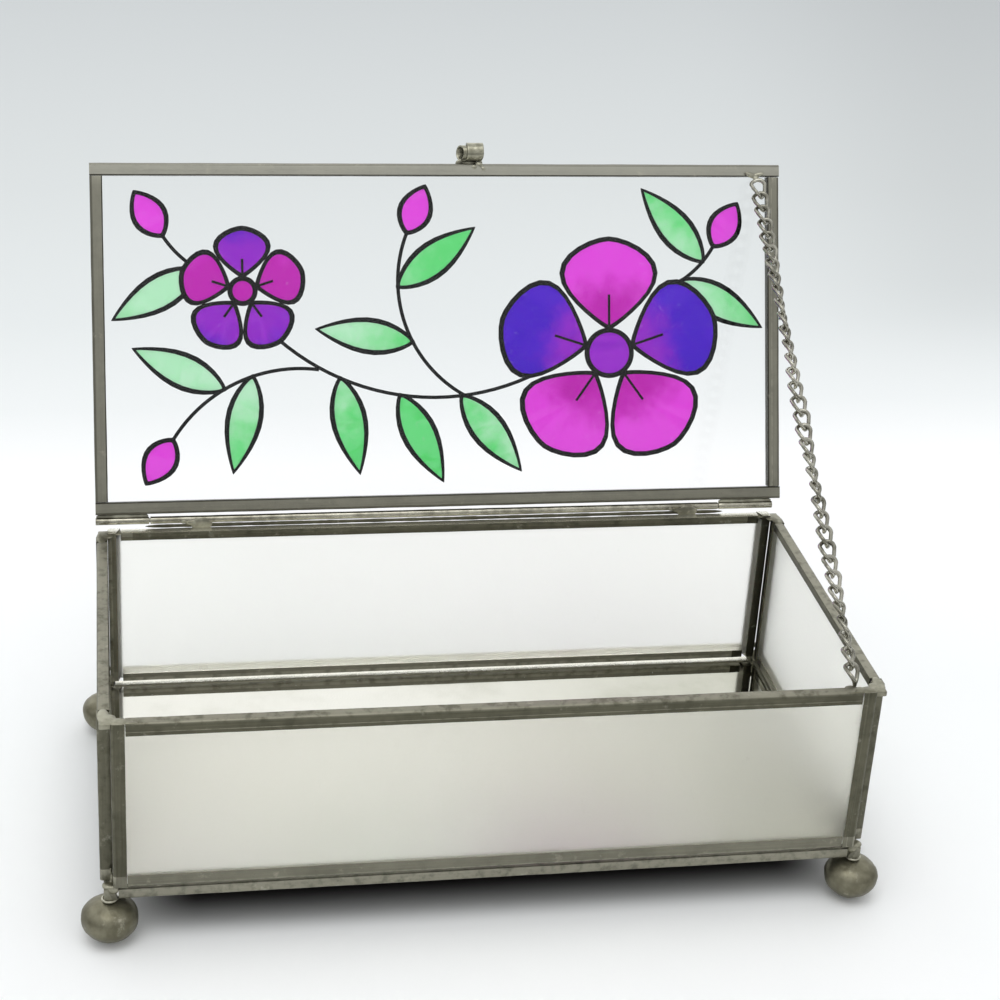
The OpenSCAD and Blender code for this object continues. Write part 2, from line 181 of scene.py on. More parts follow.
class Finish(Nodes):
    """A material with one Principled shader."""

    def __init__(self, name):
        super().__init__(bpy.data.materials.new(name))
        self.shader = self.tree.nodes["Principled BSDF"]

    def set(self, **values):
        """Values or links for the shader's sockets; Base_Color stands for Base Color."""
        self.fill(self.shader, {key.replace("_", " "): value for key, value in values.items()})
        return self

    def output(self, shader):
        self.fill(self.tree.nodes["Material Output"], {"Surface": shader})

    def put_on(self, *pieces):
        for piece in pieces:
            piece.data.materials.clear()
            piece.data.materials.append(self.owner)


def rest_on_origin():
    """Puts the active piece's place, turn and size into its mesh."""
    bpy.ops.object.transform_apply(location=True, rotation=True, scale=True)
    return bpy.context.active_object


FLOOR_SIDE = 6.0
# How the paper looks, by how far back it lies, in metres from the middle of the box: a pool
# of painted light, brightest just behind the box and greyer far back.
PAPER_NEAR, PAPER_LENGTH = -0.10, 1.00
PAPER = ((-0.10, (250, 251, 251)), (0.03, (248, 250, 250)), (0.10, (254, 255, 255)), (0.18, (254, 255, 255)),
         (0.23, (240, 243, 243)), (0.31, (230, 234, 234)), (0.47, (222, 226, 226)), (0.85, (211, 215, 216)))
# It dims towards the far right: a wedge that spreads from a point in front of the box.
DUSK_FROM, DUSK_WEDGE, DUSK_DEPTH, DUSK_SHARE = -0.46, (0.20, 0.36), (0.22, 0.36), 0.17
# Hardly any light gets under the box, which stands 11 mm off the paper. The shade is full up
# to one distance from its middle and gone at the other, along x and along y.
UNDER_MIDDLE, UNDER_FULL, UNDER_GONE = (0.003, -0.018), (0.070, 0.028), (0.096, 0.046)
bpy.ops.mesh.primitive_plane_add(size=FLOOR_SIDE)
floor = rest_on_origin()
floor.name = "floor"
paper = Finish("studio_paper")
across, depth = paper.along("X"), paper.along("Y")
stops = [((y - PAPER_NEAR) / PAPER_LENGTH, paint(*colour)) for y, colour in PAPER]
shade = paper.add("ShaderNodeValToRGB", {"stops": stops}, (depth - PAPER_NEAR) / PAPER_LENGTH)
dusk = (across / (depth - DUSK_FROM)).rise(*DUSK_WEDGE) * depth.rise(*DUSK_DEPTH)
shade = paper.mix(dusk * DUSK_SHARE, shade, paint(120, 122, 124))
under_x, under_y = (
    (place - middle).maths("ABSOLUTE").rise(gone, full)
    for place, middle, gone, full in zip((across, depth), UNDER_MIDDLE, UNDER_GONE, UNDER_FULL))
shade = paper.mix(under_x * under_y, shade, paint(36, 33, 34))
paper.set(Base_Color=shade, Roughness=0.9, Specular_IOR_Level=0.05)
paper.put_on(floor)

world = bpy.data.worlds.new("studio_room")
bpy.context.scene.world = world
room = Nodes(world)
way = room.add("ShaderNodeTexCoord", out="Generated")
upward = room.add("ShaderNodeSeparateXYZ", None, way, out="Z")
backward = room.add("ShaderNodeSeparateXYZ", None, way, out="Y")
behind = backward.rise(0.15, 0.90) * upward.rise(0.95, 0.45)
# How strong the room is in front of the box, and what it gains overhead and at a white sheet
# that hangs behind: first as metal shows it, then as it lights the box.
SHOWN_FRONT, SHOWN_ABOVE, SHOWN_SHEET = 0.22, 0.72, 0.80
CAST_FRONT, CAST_ABOVE, CAST_SHEET = 0.66, 0.20, 0.45
shown = upward.rise(0.0, 0.45) * SHOWN_ABOVE + SHOWN_FRONT + behind * SHOWN_SHEET
cast = upward.rise(0.0, 0.70) * CAST_ABOVE + CAST_FRONT + behind * CAST_SHEET
mirrored = room.add("ShaderNodeLightPath", out="Is Glossy Ray")
brightness = mirrored * shown + (1 - mirrored) * cast
room.fill(room.tree.nodes["Background"], {"Color": paint(253, 254, 255), "Strength": brightness})

SOFTBOX_AT, SOFTBOX_SIDE, SOFTBOX_WATTS = Vector((-0.15, -0.30, 1.25)), 0.8, 3.8
bpy.ops.object.light_add(type="AREA", location=SOFTBOX_AT)
softbox = bpy.context.active_object
softbox.data.shape, softbox.data.size = "SQUARE", SOFTBOX_SIDE
softbox.data.energy = SOFTBOX_WATTS
softbox.rotation_euler = (-SOFTBOX_AT).to_track_quat("-Z", "Y").to_euler()


# ---------------------------------------------------------------- cames
# Each pane is edged by four strips of tin-lead came: a channel folded round the glass, with
# a rounded back, a crease along its lip and a narrower lip on the inside of the box. It was
# cut to length and butted at the corners. It is dull olive, rubbed and lit paler on its edges,
# with painted light on its upward faces, its low rails and the lid, and painted shade on the
# lid's backs and in one inner corner.
CAME_FACE, CAME_BACK_ROUND, CAME_LIP_ROUND, CORNER_ROUND = 3.3 * MM, 0.70 * MM, 0.12 * MM, 1.1 * MM
LIP_SHORTER, LIP_THICK = 1.0 * MM, 0.46 * MM
CREASE_AT, CREASE_HALF, CREASE_DEEP = 1.15 * MM, 0.10 * MM, 0.09 * MM
# a butted strip lies this much below the two that it meets
CAME_STEP = 0.10 * MM
# how far apart a strip is cut across, so that its surface can waver
RING_STEP = 3 * MM
# the back panel sits a little proud of the rim, close under the hinge
BACK_TALLER = 0.45 * MM
# the line beside the glass on the lid, painted dark as shade
LIP_SHADE = 0.36 * MM
# what each edge of a strip became: rubbed pale and lit as a painted highlight, plain, in
# painted shade beside the lid's glass and on the lid's rounded backs; and painted shade in
# one inner corner
RUBBED_AND_LIT, PLAIN, LIP_PAINTED_SHADE, LID_EDGE_SHADE, CORNER_SHADE = 1.0, 0.0, -1.0, -0.5, -0.85
# how much painted light a face takes: 1 is all painted pale, and what is past 1 is a painted near-white glare
LOW_RAIL_LIGHT, LID_LIGHT, LID_TOP_RAIL_LIGHT, NEAR_WHITE_GLARE = 1.07, 1.15, 1.36, 1.9
# where these begin: below, above or behind a place, or beside the walls' upright strips
LOW_RAIL, LID_TOP_RAIL, BACK_SEAM, UPRIGHT, CORNER_SHADE_FROM = 19 * MM, 140.5 * MM, 25.6 * MM, 82 * MM, 20 * MM
# two places nearer than this are the same
SAME = 1e-6
hinge = frame["joints"][0]
HINGE_AT = Vector(hinge["pos_m"])
OPEN = math.radians(hinge["range_deg"][1])
OPENED = Matrix.Translation(HINGE_AT) @ Matrix.Rotation(-OPEN, 4, "X") @ Matrix.Translation(-HINGE_AT)


def closed_box(node):
    """A lid node's lowest and highest corners as they are with the lid closed."""
    back = OPENED.inverted()
    points = [back @ v.co for v in frame["nodes"][node].data.vertices]
    return tuple(Vector(pick(p[i] for p in points) for i in range(3)) for pick in (min, max))


def choose(piece, faces=None, edges=None):
    """In edit mode, selects just the faces or the edges that a rule holds for."""
    bpy.ops.mesh.select_mode(type="FACE" if faces else "EDGE")
    bpy.ops.mesh.select_all(action="DESELECT")
    mesh = bmesh.from_edit_mesh(piece.data)
    for item in mesh.faces if faces else mesh.edges:
        if (faces or edges)(item):
            item.select_set(True)
    bmesh.update_edit_mesh(piece.data)


def modify(piece, kind, **settings):
    """Adds a modifier and applies it."""
    bpy.context.view_layer.objects.active = piece
    modifier = piece.modifiers.new(kind.lower(), kind)
    for name, value in settings.items():
        setattr(modifier, name, value)
    bpy.ops.object.modifier_apply(modifier=modifier.name)


def waver(piece, size, depth):
    """Sinks the surface here and there by up to depth, in lumps of about size."""
    cloud = bpy.data.textures.new(piece.name + "_waver", "CLOUDS")
    cloud.noise_scale = size
    modify(piece, "DISPLACE", texture=cloud, strength=depth, mid_level=1.0, texture_coords="LOCAL")


def alone(piece):
    """Makes one piece the only selected one, and the active one."""
    bpy.ops.object.select_all(action="DESELECT")
    piece.select_set(True)
    bpy.context.view_layer.objects.active = piece


def smooth(piece, degrees=180):
    """Shades smooth across all edges that turn by less than an angle."""
    alone(piece)
    bpy.ops.object.shade_smooth_by_angle(angle=math.radians(degrees))
    bpy.ops.object.select_all(action="DESELECT")


def joined(pieces, name):
    """One piece of several, under one name."""
    alone(pieces[0])
    for piece in pieces:
        piece.select_set(True)
    if len(pieces) > 1:
        bpy.ops.object.join()
    pieces[0].name = pieces[0].data.name = name
    bpy.ops.object.select_all(action="DESELECT")
    return pieces[0]


def belongs(piece, body, slot, *nodes):
    """Says what a piece rides on and which nodes it stands for; the finish slot is not used."""
    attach(piece, body)
    if nodes:
        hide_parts(*nodes)
    return piece


def ringed(piece, along, low, high, step, fewest):
    """Cuts rings across a long piece, about a step apart."""
    count = max(fewest, round((high - low) / step))
    normal = Vector(1 if axis == along else 0 for axis in range(3))
    bpy.ops.object.mode_set(mode="EDIT")
    for number in range(1, count):
        bpy.ops.mesh.select_all(action="SELECT")
        bpy.ops.mesh.bisect(plane_co=normal * (low + (high - low) * number / count), plane_no=normal)
    bpy.ops.object.mode_set(mode="OBJECT")


def came_strip(low, high, along, out, short_lip, round_ends):
    """One strip along an axis. Its back is on the side out; short_lip is the shorter lip's side."""
    bpy.ops.object.select_all(action="DESELECT")
    bpy.ops.mesh.primitive_cube_add(size=1, location=(low + high) / 2)
    strip = bpy.context.active_object
    strip.scale = high - low
    rest_on_origin()
    across = 1 - along
    unit = Vector([0, 0, 0])
    unit[across] = 1
    back, lip = (high[across], low[across]) if out > 0 else (low[across], high[across])
    side = None if short_lip is None else low.z if short_lip < 0 else high.z
    crease = lip + out * CREASE_AT
    bpy.ops.object.mode_set(mode="EDIT")

    def cut(place, normal):
        bpy.ops.mesh.select_all(action="SELECT")
        bpy.ops.mesh.bisect(plane_co=place, plane_no=normal)

    for step in (-1, 0, 1):
        cut(unit * (lip + out * (CREASE_AT + step * CREASE_HALF)), unit)
    cut(unit * (lip + out * LIP_SHADE), unit)
    if short_lip is not None:
        for deep in (LIP_THICK, LIP_THICK + 0.03 * MM):
            cut(Vector((0, 0, side - short_lip * deep)), (0, 0, 1))
    mesh = bmesh.from_edit_mesh(strip.data)
    for vertex in mesh.verts:
        where = vertex.co
        in_lip = short_lip is not None and abs(where.z - side) < LIP_THICK + 0.01 * MM
        if in_lip and abs(where[across] - back) > 0.1 * MM:
            where[across] += out * LIP_SHORTER
        elif abs(where[across] - crease) < SAME and min(where.z - low.z, high.z - where.z) < SAME:
            where.z += math.copysign(CREASE_DEEP, (low.z + high.z) / 2 - where.z)
    length = high[along] - low[along]
    rounded = [z for z in (low.z, high.z) if z != side]

    def at_back(edge):
        ends = [v.co for v in edge.verts]
        return (abs(ends[0][along] - ends[1][along]) > length * 0.9 and
                all(abs(p[across] - back) < SAME and min(abs(p.z - z) for z in rounded) < SAME for p in ends))

    def stands_at_end(edge):
        ends = [v.co for v in edge.verts]
        return abs(ends[0].z - ends[1].z) > 0.1 * MM and all(abs(p[across] - back) < SAME for p in ends)

    choose(strip, edges=at_back)
    bpy.ops.mesh.bevel(offset=CAME_BACK_ROUND, segments=5, affect="EDGES")
    if round_ends:
        choose(strip, edges=stands_at_end)
        bpy.ops.mesh.bevel(offset=CORNER_ROUND, segments=4, affect="EDGES")
    choose(strip, edges=lambda e: len(e.link_faces) == 2 and e.calc_face_angle(0) > math.radians(60))
    bpy.ops.mesh.bevel(offset=CAME_LIP_ROUND, segments=2, affect="EDGES")
    bpy.ops.object.mode_set(mode="OBJECT")
    ringed(strip, along, low[along], high[along], RING_STEP, 4)
    return strip, back, lip


def mark_strip(strip, along, back, lip, on_lid):
    """Maps a strip along its length, and marks its edges: rubbed and lit with a painted highlight, and on the
    lid painted with shade.
    """
    data = strip.data
    across = 1 - along
    shift = random.random()
    lay = data.uv_layers[0]
    lay.name = "strip"
    worn = data.attributes.new("worn", "FLOAT", "FACE")
    for face in data.polygons:
        place = face.center[across]
        # on the lid: painted shade beside the glass and on the rounded backs
        if on_lid and abs(place - lip) < LIP_SHADE:
            mark = LIP_PAINTED_SHADE
        elif abs(place - back) < CAME_BACK_ROUND * 1.1:
            mark = LID_EDGE_SHADE if on_lid else RUBBED_AND_LIT
        else:
            mark = PLAIN if max(abs(v) for v in face.normal) > 0.97 else RUBBED_AND_LIT
        worn.data[face.index].value = mark
        for corner in face.loop_indices:
            where = data.vertices[data.loops[corner].vertex_index].co
            lay.data[corner].uv = (where[along] + shift, where[across] + where.z * 0.7 + shift)


def mark_painted_light(piece, node, painted_glare):
    """Marks painted light on a panel's strips, paler up to a near-white glare, and painted shade in one
    corner.
    """
    handled = piece.data.attributes.new("handled", "FLOAT", "FACE")
    worn = piece.data.attributes["worn"]
    for face in piece.data.polygons:
        at, way = face.center, face.normal
        in_back = node == "back_came" and way.y < -0.5
        in_right = node == "right_came" and way.x < -0.5
        # painted shade on the inner strips of the box's back right corner
        if in_back and at.x > UPRIGHT or in_right and at.y > CORNER_SHADE_FROM:
            worn.data[face.index].value = CORNER_SHADE
            share = 0.0
        elif node == "lid_came":
            # the lid's strips are painted paler as lit, its top rail most
            share = LID_TOP_RAIL_LIGHT if at.z > LID_TOP_RAIL else LID_LIGHT
        else:
            # faces that look up are painted paler, as light falls from above
            share = min(1.0, max(0.0, way.z * 1.6 - 0.4)) * painted_glare
            # the low rails are painted paler, as lit from the pale paper
            if at.z < LOW_RAIL:
                share = max(share, LOW_RAIL_LIGHT)
            # a near-white line painted on the base's top at the back, as light through the gap there
            if node == "base_came" and way.z > 0.5 and at.y > BACK_SEAM:
                share = max(share, NEAR_WHITE_GLARE)
            # the back's inner left upright is painted paler, as lit
            if in_back and at.x < -UPRIGHT:
                share = max(share, 1.0)
        handled.data[face.index].value = share


def came(node, body, to_place, width, height, thick, short_lip=None, uprights_whole=True,
         round_ends=False, painted_glare=1.0):
    """The four strips round a pane, made lying flat and then put where the panel stands."""
    name = node + "_strips"
    size = (width, height)
    strips = []
    for along, across in ((0, 1), (1, 0)):
        for end in (0, 1):
            low, high = Vector((0, 0, 0)), Vector((width, height, thick))
            if end:
                low[across] = size[across] - CAME_FACE
            else:
                high[across] = CAME_FACE
            whole = (along == 1) == uprights_whole
            if not whole:
                low[along], high[along] = CAME_FACE, size[along] - CAME_FACE
                low[2], high[2] = CAME_STEP, thick - CAME_STEP
            strip, back, lip = came_strip(low, high, along, 1 if end else -1, short_lip, round_ends and whole)
            mark_strip(strip, along, back, lip, body == "lid")
            strip.name = name
            waver(strip, 6 * MM, 0.12 * MM)
            waver(strip, 1.4 * MM, 0.035 * MM)
            strips.append(strip)
    piece = joined(strips, name)
    piece.data.transform(to_place)
    mark_painted_light(piece, node, painted_glare)
    smooth(piece, 40)
    return belongs(piece, body, "came_metal", node)


def standing(low, high, thin):
    """Takes a flat panel's own axes to a wall that is thin along x or along y."""
    size = high - low
    if thin == 0:
        axes, corner = ((0, 0, 1), (1, 0, 0), (0, 1, 0)), low
        width, height = size.y, size.z
    else:
        axes, corner = ((1, 0, 0), (0, 0, -1), (0, 1, 0)), Vector((low.x, high.y, low.z))
        width, height = size.x, size.z
    return Matrix.Translation(corner) @ Matrix(axes).to_4x4(), width, height, size[thin]


# each wall's thin axis, and which of its flat panel's sides is inside the box
WALLS = (("front_came", 1, -1), ("back_came", 1, 1), ("left_came", 0, 1), ("right_came", 0, -1))
random.seed(7)
cames = []
for node, thin, inside in WALLS:
    low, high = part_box(node)
    painted_glare = 1.0
    if node == "back_came":
        high.z += BACK_TALLER
        # the back panel's upward faces take a near-white glare, a painted reflection of the sheet behind
        painted_glare = NEAR_WHITE_GLARE
    cames.append(came(node, "box", *standing(low, high, thin), short_lip=inside, painted_glare=painted_glare))
low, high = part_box("base_came")
cames.append(came("base_came", "box", Matrix.Translation(low), *(high - low), short_lip=1))
low, high = closed_box("lid_came")
cames.append(came("lid_came", "lid", OPENED @ Matrix.Translation(low), *(high - low),
                  uprights_whole=False, round_ends=True))


def pewter(name, dark, light, rough=0.42, grain=1.0, drawn=False):
    """Old tin-lead: faint clouds of tarnish, fine pits, rubbed spots and a soft gloss; drawn strips also show
    painted light and shade.
    """
    metal = Finish(name)
    clouds = metal.noise(14 * MM, 3)
    grime = metal.noise(2.2 * MM, 4)
    pits = metal.noise(0.4 * MM, 2)
    rubbed_and_lit = metal.noise(4 * MM, 4, roughness=0.7).rise(0.60, 0.76)
    tone = (clouds * 0.6 + grime * 0.4).rise(0.34, 0.66)
    relief = grime * 0.6 + pits * 0.4
    gloss = 1.0
    if drawn:
        # drawn through a die, so faint lines run with the strip
        run = metal.add("ShaderNodeUVMap", {"uv_map": "strip"})
        lines = metal.noise(1.0, 4, metal.add("ShaderNodeMapping", None, run, Scale=(45, 2200, 1)))
        tone = tone * 0.5 + lines.rise(0.30, 0.70) * 0.3 + 0.1
        relief = relief + lines * 0.3
    colour = metal.mix(tone, dark, light)
    if drawn:
        # paler with painted light, near white with a painted glare, edges rubbed pale and lit as
        # painted highlights, and dark where painted shade lies
        handled, edge = (metal.add("ShaderNodeAttribute", {"attribute_name": mark}, out="Fac")
                         for mark in ("handled", "worn"))
        painted_glare = (handled - 1.0).maths("MAXIMUM", 0.0)
        colour = metal.mix(handled, colour, metal.mix(tone, paint(88, 86, 72), paint(122, 120, 104)))
        bright = edge.maths("MAXIMUM", 0.0) * grime.rise(0.30, 0.55)
        rubbed_and_lit = (rubbed_and_lit * 0.6 + bright * (handled * 0.35 + 0.10)).maths("MINIMUM", 1.0)
        colour = metal.mix(painted_glare, colour, paint(226, 225, 214))
        colour = metal.mix((edge * -0.9).maths("MAXIMUM", 0.0), colour, paint(44, 42, 33))
        gloss = 1 - painted_glare * 0.5
    colour = metal.mix(pits.rise(0.64, 0.78) * 0.22, colour, paint(56, 54, 44))
    colour = metal.mix(rubbed_and_lit * 0.5, colour, paint(196, 193, 176))
    metal.set(Base_Color=colour, Metallic=0.88, Roughness=(rough + grime * 0.14 - rubbed_and_lit * 0.10) * gloss,
              Normal=metal.bump(relief, 0.09 * MM * grain))
    return metal


came_metal = pewter("came_metal", paint(70, 69, 57), paint(104, 102, 86), drawn=True)
came_metal.put_on(*cames)


# ---------------------------------------------------------------- panes
# Four wall panes of 2 mm frosted glass, a mirror for the base, and a clear pane for the
# lid. The glass was cut to the came's slot. Fingers have left faint smudges on it. Shade is
# painted into the front pane's low right corner and the mirror's right side.
def frosted(name, pale, dull, rough, shade_and_grime):
    """Frosted glass. The last value sets both a painted shade in its low right corner and how heavy its
    finger marks are.
    """
    glass = Finish(name)
    haze = glass.noise(34 * MM, 3)
    smudge = glass.noise(7 * MM, 5, glass.place(scale=(1.6, 1.6, 0.55)), roughness=0.72).rise(0.63, 0.78)
    etch = glass.noise(0.5 * MM, 2)
    across, tall = glass.along("X"), glass.along("Z")
    # the low right corner is painted darker, as shade
    corner = across.rise(30 * MM, 110 * MM) * tall.rise(52 * MM, 8 * MM)
    marks = smudge * (across.rise(0.0, 40 * MM) * 0.7 + 0.3)
    milk = glass.mix(haze * 0.5 + 0.25, pale, dull)
    milk = glass.mix(corner * shade_and_grime, milk, paint(214, 215, 201))
    milk = glass.mix(marks * (0.16 + shade_and_grime * 0.9), milk, paint(170, 172, 162))
    glass.set(Base_Color=milk, Roughness=rough - marks * 0.2, Transmission_Weight=0.93, IOR=1.26,
              Normal=glass.bump(etch, 0.04 * MM))
    return glass


wall_glass = frosted("frosted_glass", paint(255, 255, 252), paint(254, 254, 250), rough=0.60, shade_and_grime=0.0)
wall_glass.put_on(*(frame["nodes"][node] for node in ("back_pane", "left_pane", "right_pane")))
# the front pane, which is less lit, is a duller copy of the wall glass with painted shade
front_glass = frosted("frosted_glass_front", paint(255, 255, 251), paint(254, 253, 247),
                      rough=0.68, shade_and_grime=0.25)
front_glass.put_on(frame["nodes"]["front_pane"])

clear = Finish("clear_glass")
# glass mirrors more the more aslant it is seen, alike on both of its faces
glance = clear.add("ShaderNodeLayerWeight", None, 0.5, out="Facing") ** 5 * 0.96 + 0.04
dust = clear.noise(12 * MM, 6, roughness=0.7).rise(0.58, 0.80)
clear.set(Base_Color=paint(246, 250, 249), Metallic=1.0, Roughness=0.02 + dust * 0.05,
          Alpha=glance * 0.55 + dust * 0.02 + 0.005)
clear.put_on(frame["nodes"]["lid_pane"])

mirror = Finish("mirror_glass")
bloom = mirror.noise(26 * MM, 5, roughness=0.65).rise(0.45, 0.75)
specks = mirror.noise(1.1 * MM, 2).rise(0.70, 0.80)
# the silver is painted darker towards the right, as shade, besides its blooms
rightward_shade = mirror.along("X").rise(-30 * MM, 80 * MM)
silver = mirror.mix(bloom * 0.3 + rightward_shade * 0.7, paint(210, 209, 204), paint(168, 168, 156))
mirror.set(Base_Color=silver, Metallic=1.0, Roughness=0.03 + bloom * 0.05 + specks * 0.25)
mirror.put_on(frame["nodes"]["base_pane"])


# ---------------------------------------------------------------- solder
# Tin solder, run in with an iron: a thin smear over each corner of the rim with a plug below
# it, knobs where the walls meet the base, tabs, fillets and a long thin seam at the hinge, and
# drops at the chain's ends. The seam fills the gap under the barrel and is coloured dark as
# its painted contact shadow. It froze as it flowed, smooth and lumpy.
def drop(at, size, turn=(0, 0, 0)):
    """A flattened drop of solder, its middle and half sizes in millimetres."""
    bpy.ops.object.select_all(action="DESELECT")
    bpy.ops.mesh.primitive_ico_sphere_add(subdivisions=4, radius=1, location=Vector(at) * MM,
                                          rotation=[math.radians(a) for a in turn])
    bpy.context.active_object.scale = Vector(size) * MM
    return rest_on_origin()


def block(at, size):
    """A square plug of solder, its middle and half sizes in millimetres."""
    bpy.ops.object.select_all(action="DESELECT")
    bpy.ops.mesh.primitive_cube_add(size=2, location=Vector(at) * MM)
    plug = bpy.context.active_object
    plug.scale = Vector(size) * MM
    rest_on_origin()
    modify(plug, "BEVEL", width=0.25 * MM, segments=2)
    return plug


def frozen(drops, node, body, grain=0.16 * MM, ripple=0.10 * MM, smoothing=5, name=None):
    """Drops melted into one run of solder, which stands for a node."""
    run = joined(drops, name or node + "_run")
    modify(run, "REMESH", mode="VOXEL", voxel_size=grain)
    modify(run, "SMOOTH", factor=0.6, iterations=smoothing)
    waver(run, 1.1 * MM, ripple)
    smooth(run)
    return belongs(run, body, "solder", node)


def vary(amount):
    """A little more or a little less, as a hand's work comes out."""
    return random.uniform(-amount, amount)


def corners(low, high, inset=0.0):
    """Places by a box's four corners, seen from above, each with its two ways into the box."""
    return [(x, y, in_x, in_y) for in_x, x in ((1, low.x + inset), (-1, high.x - inset))
            for in_y, y in ((1, low.y + inset), (-1, high.y - inset))]


def inward(corner, far_x, far_y, z):
    """The place that lies so far into the box from a corner."""
    x, y, in_x, in_y = corner
    return (x + in_x * far_x, y + in_y * far_y, z)


random.seed(4)
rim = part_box("front_came")[1].z / MM
smears, knobs, necks = [], [], []
for corner in corners(*(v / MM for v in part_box("rim_solder"))):
    aslant = corner[2] * corner[3] * 40
    smears += [
        drop(inward(corner, 1.50, 3.9, rim - 0.10), (1.38, 3.2 + vary(0.2), 0.30)),
        drop(inward(corner, 4.9, 1.5, rim - 0.10), (3.4 + vary(0.3), 1.40, 0.30)),
        drop(inward(corner, 2.6, 2.8, rim - 0.12), (1.9, 1.7, 0.32), (0, 0, aslant)),
        drop(inward(corner, 7.4 + vary(0.8), 0.75, rim - 0.14), (2.6 + vary(0.5), 0.5, 0.26)),
        block(inward(corner, 1.85, 1.75, rim - 0.75), (1.35, 1.45, 0.75)),
        drop(inward(corner, 3.3 + vary(0.2), 3.6, rim - 0.2), (0.9, 0.7, 0.40)),
    ]
for corner in corners(*(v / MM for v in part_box("base_solder"))):
    knobs += [
        drop(inward(corner, 2.75, 3.0, 15.4), (0.55, 0.5, 1.9)),
        drop(inward(corner, 1.9, 2.1, 14.3), (1.5, 1.5, 0.75)),
        drop(inward(corner, 3.0, 1.1, 13.7), (1.3, 0.75, 1.2)),
        drop(inward(corner, 2.6 + vary(0.3), 2.2, 18.0 + vary(0.6)), (0.42, 0.5, 0.9)),
    ]
NECK_R = 1.35
for corner in corners(*(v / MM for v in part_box("foot_solder")), inset=NECK_R):
    necks += [
        drop(inward(corner, 0.0, 0.0, 10.9), (1.25, 1.25, 0.5)),
        drop(inward(corner, 0.5, 0.6, 11.6), (1.6, 1.5, 0.75), (0, corner[2] * 14, 0)),
        drop(inward(corner, 0.9, 1.1, 12.6), (1.1, 1.1, 1.0)),
    ]
barrel_y, barrel_z = HINGE_AT.y / MM, HINGE_AT.z / MM
tab_low, tab_high = (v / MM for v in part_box("hinge_barrel_solder"))
tabs, shadow_seams = [], []
for x in (tab_low.x + 3.2, tab_high.x - 3.2):
    tabs += [
        drop((x + 0.6, barrel_y - 0.75, barrel_z - 1.0), (2.9, 0.62, 1.75)),
        drop((x - 0.4, barrel_y - 0.55, barrel_z - 0.7), (3.3, 0.6, 1.0)),
        drop((x - 3.9, barrel_y - 0.9, barrel_z - 0.2), (0.9, 0.35, 0.6)),
    ]
barrel_low, barrel_high = (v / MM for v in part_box("hinge_barrel"))
# the seam under the barrel closes the gap there, and is dark as a painted contact shadow
SEAM_DROPS, SEAM_SHORT = 48, 2.5
seam_from, seam_to = barrel_low.x + SEAM_SHORT, barrel_high.x - SEAM_SHORT
for number in range(SEAM_DROPS):
    x = seam_from + (seam_to - seam_from) * (number + 0.5) / SEAM_DROPS
    shadow_seams.append(drop((x, barrel_y - 0.72, barrel_z - 1.35), (5.5, 0.26, 0.55 + vary(0.05))))
fillet_low, fillet_high = (v / MM for v in closed_box("lid_knuckle_solder"))
# where the left fillet ends and the right one begins
LEFT_FILLET_TO, RIGHT_FILLET_FROM = -77.5, 74.2
fillets = []
for low_x, high_x in ((fillet_low.x, LEFT_FILLET_TO), (RIGHT_FILLET_FROM, fillet_high.x)):
    middle = (low_x + high_x) / 2
    for share in (-0.34, -0.12, 0.10, 0.34):
        x = middle + share * (high_x - low_x)
        fillets.append(drop((x, barrel_y - 1.15, barrel_z + 0.10 + vary(0.06)),
                            ((high_x - low_x) * 0.24, 0.85, 0.46 + vary(0.04))))
for piece in fillets:
    piece.data.transform(OPENED)
end_low, end_high = (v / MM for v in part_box("chain_box_solder"))
end_at = (end_low + end_high) / 2
box_end = [
    drop(end_at, (1.0, 1.0, 1.0)),
    drop(end_at + Vector((-0.8, 0.25, 0.35)), (1.7, 0.8, 0.7), (0, 12, 8)),
    drop(end_at + Vector((1.2, 0.1, 0.1)), (1.2, 0.7, 0.6)),
]
top_low, top_high = (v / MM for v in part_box("chain_lid_solder"))
top_at = (top_low + top_high) / 2
lid_end = [
    drop(top_at, (0.9, 0.75, 0.85)),
    drop(top_at + Vector((-1.3, 0.45, 0.95)), (2.0, 0.5, 0.75), (-22, 20, 0)),
    drop(top_at + Vector((0.7, 0.50, 1.15)), (1.6, 0.42, 0.6), (-22, -12, 0)),
]
solder_runs = [
    frozen(smears, "rim_solder", "box"),
    frozen(knobs, "base_solder", "box"),
    frozen(necks, "foot_solder", "box"),
    frozen(tabs, "hinge_barrel_solder", "box", ripple=0.06 * MM),
    frozen(shadow_seams, "hinge_barrel_solder", "box", grain=0.12 * MM, ripple=0.05 * MM, name="hinge_seam_run"),
    frozen(box_end, "chain_box_solder", "box", grain=0.10 * MM),
    frozen(fillets, "lid_knuckle_solder", "lid", grain=0.12 * MM),
    frozen(lid_end, "chain_lid_solder", "lid", grain=0.10 * MM, ripple=0.16 * MM),
]
tin = pewter("solder", paint(112, 110, 97), paint(186, 184, 166), rough=0.30, grain=1.2)
tin.put_on(*solder_runs[2:])
pewter("rim_solder", paint(104, 102, 86), paint(162, 160, 143), rough=0.32).put_on(*solder_runs[:2])
# the seam's dark colour is a painted shadow under the barrel
pewter("seam_solder", paint(78, 76, 64), paint(108, 106, 90), rough=0.45).put_on(solder_runs[4])


# ---------------------------------------------------------------- feet
# Four pressed metal beads, flattened balls with a collared hole on top. The solder that
# fills the hole holds them. They are darker than the came, and dented low down.
BEAD_FACETS = 72
SHOULDER, TUCK = 0.16, 0.10
# how much lower than its box a bead was before its flat was worn
FLAT_WORN = 0.25 * MM


